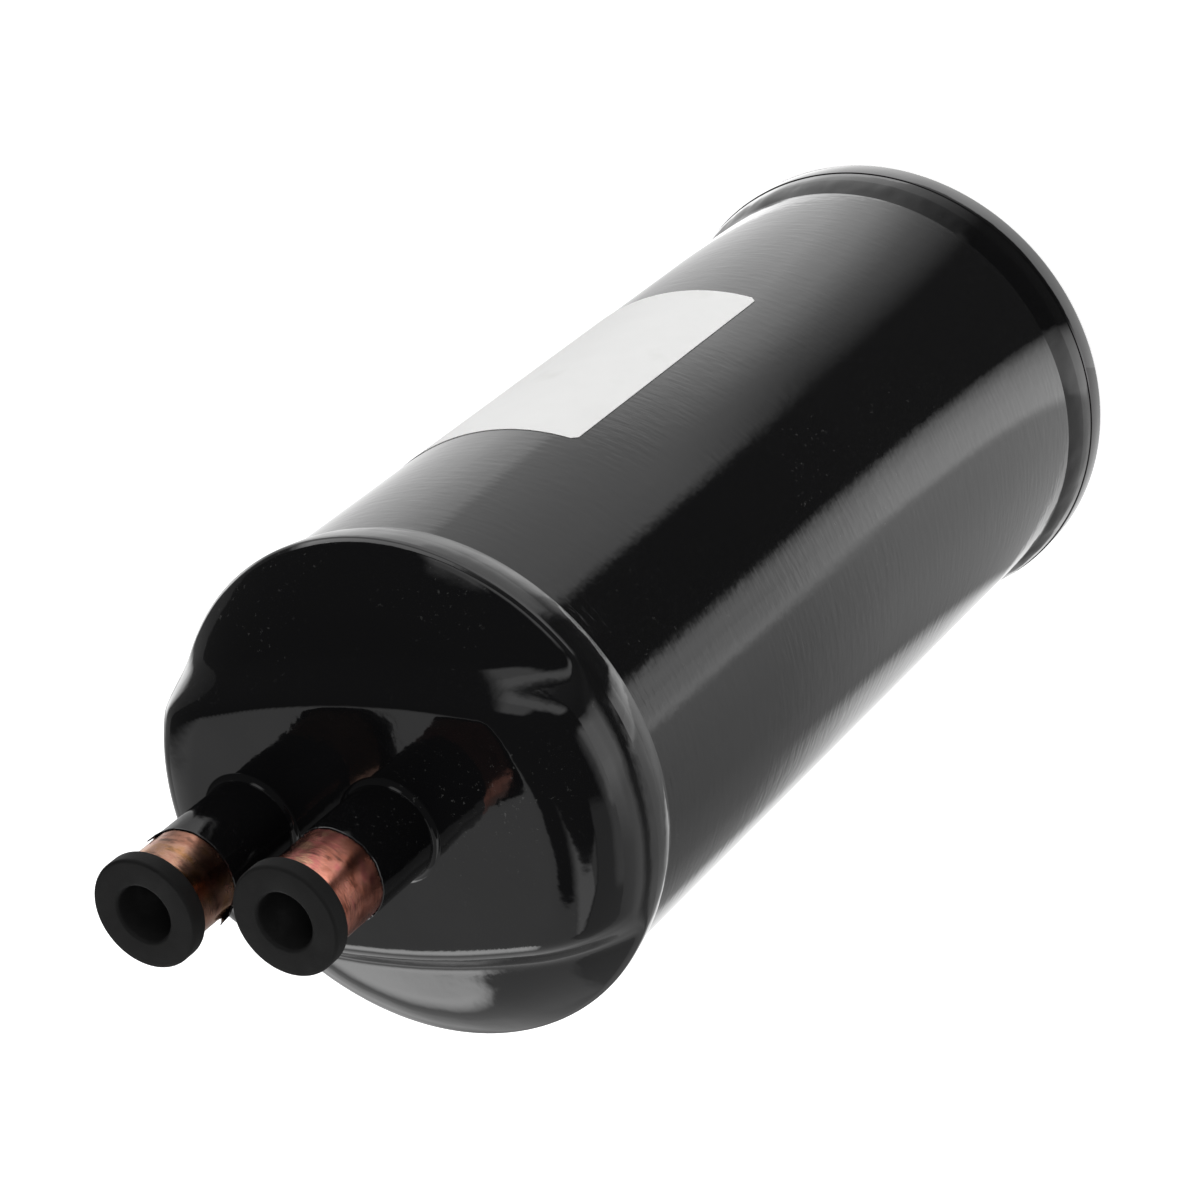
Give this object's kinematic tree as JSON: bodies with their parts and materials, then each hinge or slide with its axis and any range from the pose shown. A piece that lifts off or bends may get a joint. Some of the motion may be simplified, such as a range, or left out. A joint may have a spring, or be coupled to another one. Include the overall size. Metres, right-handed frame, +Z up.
{
  "type": "suction line accumulator",
  "caption": "Gloss-black welded steel suction line accumulator with two copper stubs on a ridged top head, rubber shipping plugs and a plain white label.",
  "frame": {"origin": "centre of the flat face of the bottom head, on the shell's axis", "axes": "+Z up along the shell's axis towards the stubs, +X from the outlet stub to the inlet stub, -Y the front, which the label faces"},
  "size_m": [0.1322, 0.1322, 0.3339],
  "materials": {
    "black_paint": "gloss black enamel with light orange peel",
    "copper": "drawn copper, heat-tinted where bare",
    "plug_rubber": "moulded matte rubber",
    "label_paper": "plain white coated sticker",
    "inner_steel": "bare mild steel",
    "orifice_brass": "turned brass"
  },
  "bodies": {
    "root": {"shell_tube": "black_paint", "top_head": "black_paint", "bottom_head": "black_paint", "top_weld": "black_paint", "bottom_weld": "black_paint", "inlet_stub": "copper", "outlet_stub": "copper", "inlet_braze": "black_paint", "outlet_braze": "black_paint", "inlet_plug": "plug_rubber", "outlet_plug": "plug_rubber", "label": "label_paper", "inlet_tube": "inner_steel", "inlet_deflector": "inner_steel", "u_tube": "copper", "oil_orifice": "orifice_brass", "oil_screen": "inner_steel", "tube_support": "inner_steel"}
  },
  "joints": []
}
